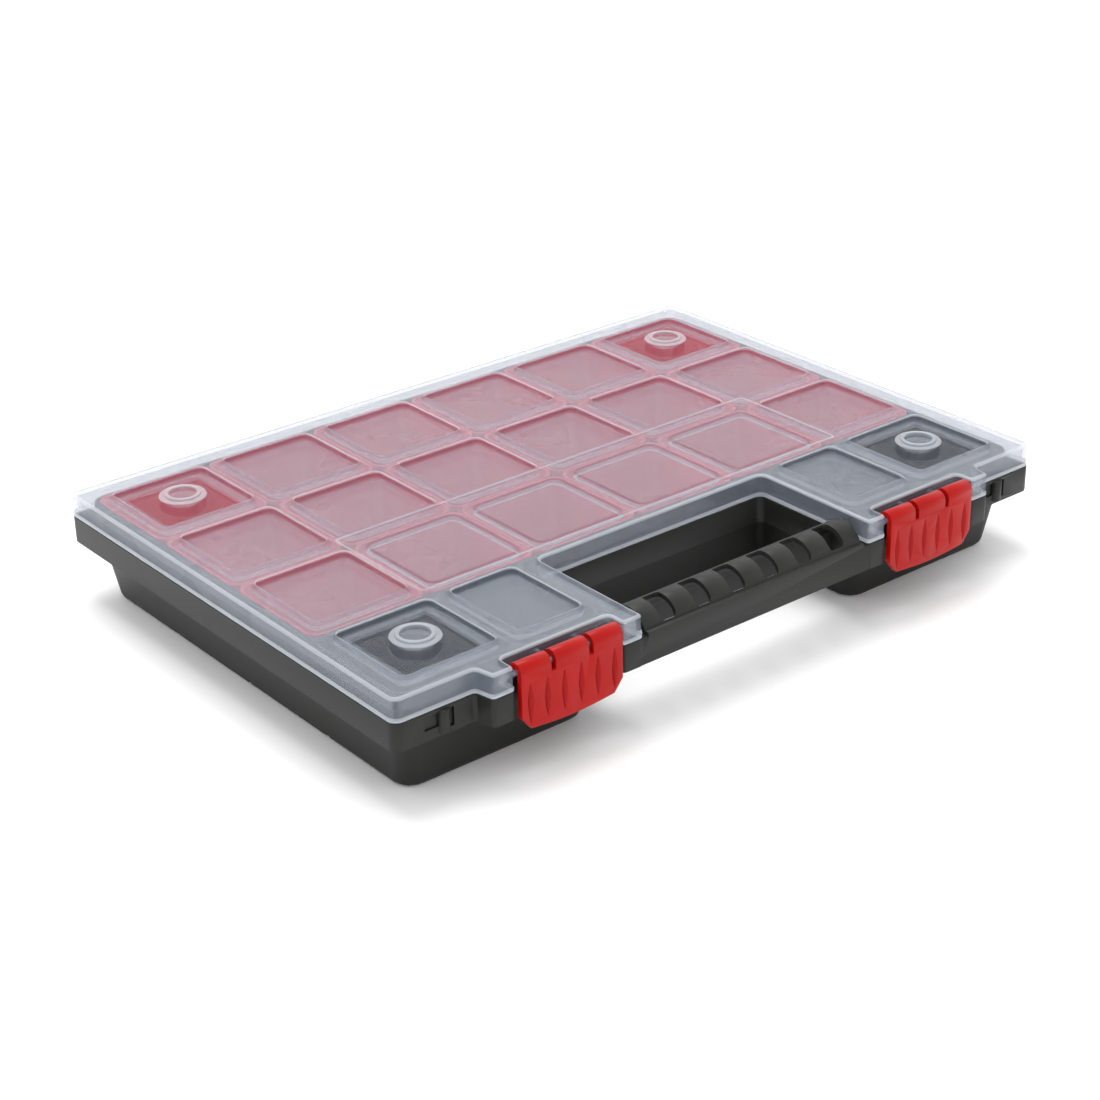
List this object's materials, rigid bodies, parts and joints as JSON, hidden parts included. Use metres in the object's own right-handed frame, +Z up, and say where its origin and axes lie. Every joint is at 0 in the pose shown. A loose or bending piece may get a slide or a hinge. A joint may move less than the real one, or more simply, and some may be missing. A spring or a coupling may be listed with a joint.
{
  "type": "parts organizer case",
  "caption": "Flat carrying case for small parts: black tub with a ribbed bar, frosted clear hinged lid, red snap latches and lift-out red bins.",
  "frame": {"origin": "centre of the bounding box in plan, on the surface that the case lies on", "axes": "+Z up through the lid, -Y towards the carrying bar and latches, +X to the right seen from the front"},
  "size_m": [0.344, 0.25, 0.05],
  "materials": {
    "black_plastic": "moulded polypropylene, satin",
    "frosted_clear_plastic": "moulded polypropylene, translucent",
    "red_latch_plastic": "moulded polypropylene, satin",
    "red_bin_plastic": "moulded polypropylene, satin"
  },
  "bodies": {
    "tub": {"base": "black_plastic", "bin_back_1": "red_bin_plastic", "bin_back_2": "red_bin_plastic", "bin_back_3": "red_bin_plastic", "bin_back_4": "red_bin_plastic", "bin_back_5": "red_bin_plastic", "bin_back_6": "red_bin_plastic", "bin_middle_1": "red_bin_plastic", "bin_middle_2": "red_bin_plastic", "bin_middle_3": "red_bin_plastic", "bin_middle_4": "red_bin_plastic", "bin_middle_5": "red_bin_plastic", "bin_middle_6": "red_bin_plastic", "bin_front_1": "red_bin_plastic", "bin_front_2": "red_bin_plastic", "bin_front_3": "red_bin_plastic", "bin_front_4": "red_bin_plastic", "bin_front_5": "red_bin_plastic", "bin_front_6": "red_bin_plastic"},
    "lid": {"lid": "frosted_clear_plastic"},
    "left_latch": {"latch_left": "red_latch_plastic"},
    "right_latch": {"latch_right": "red_latch_plastic"}
  },
  "joints": [
    {"name": "lid_hinge", "type": "hinge", "parent": "tub", "child": "lid", "pos_m": [0, 0.1224, 0.0352], "axis": [-1, 0, 0], "range_deg": [0, 110]},
    {"name": "left_latch_hinge", "type": "hinge", "parent": "lid", "child": "left_latch", "pos_m": [-0.0973, -0.1212, 0.0446], "axis": [-1, 0, 0], "range_deg": [0, 100]},
    {"name": "right_latch_hinge", "type": "hinge", "parent": "lid", "child": "right_latch", "pos_m": [0.0973, -0.1212, 0.0446], "axis": [-1, 0, 0], "range_deg": [0, 100]}
  ]
}
